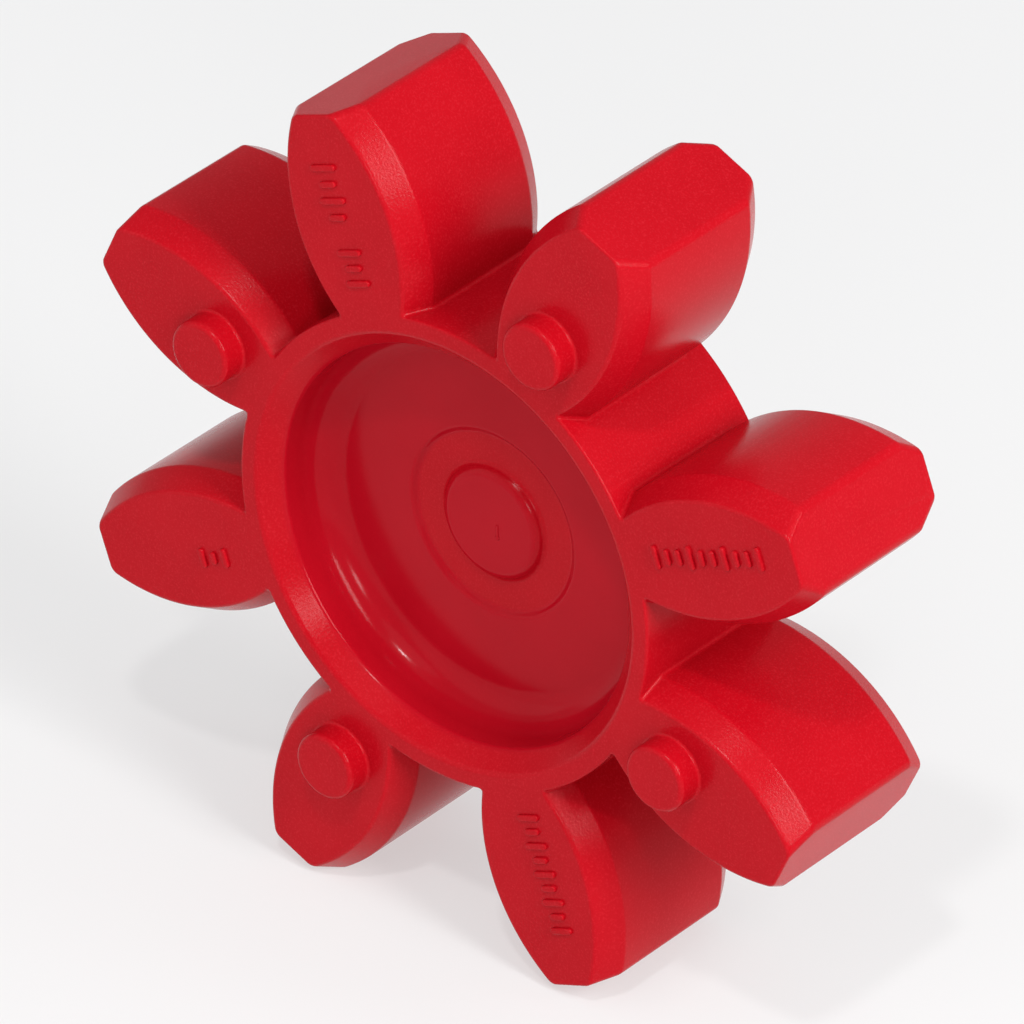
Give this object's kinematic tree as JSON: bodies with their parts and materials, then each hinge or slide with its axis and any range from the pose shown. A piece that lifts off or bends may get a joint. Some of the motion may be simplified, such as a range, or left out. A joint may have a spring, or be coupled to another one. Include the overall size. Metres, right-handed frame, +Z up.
{
  "type": "jaw coupling spider",
  "caption": "Elastomer spider for a jaw coupling: a web-closed ring with barrel-sided lobes that cushion the jaws of two shaft hubs, and low pads that space the hubs apart.",
  "frame": {"origin": "on the coupling's axis, halfway through the spider's thickness", "axes": "+Y along the coupling's axis towards the rear face, -Y out of the front face, +Z up with a gap between lobes at the top, +X to the right seen from the front"},
  "size_m": [0.0768, 0.0226, 0.0768],
  "materials": {
    "urethane": "satin"
  },
  "bodies": {
    "root": {"hub_ring": "urethane", "web": "urethane", "lobe_1": "urethane", "lobe_2": "urethane", "lobe_3": "urethane", "lobe_4": "urethane", "lobe_5": "urethane", "lobe_6": "urethane", "lobe_7": "urethane", "lobe_8": "urethane", "front_pad_1": "urethane", "front_pad_2": "urethane", "front_pad_3": "urethane", "front_pad_4": "urethane", "rear_pad_1": "urethane", "rear_pad_2": "urethane", "rear_pad_3": "urethane", "rear_pad_4": "urethane"}
  },
  "joints": []
}
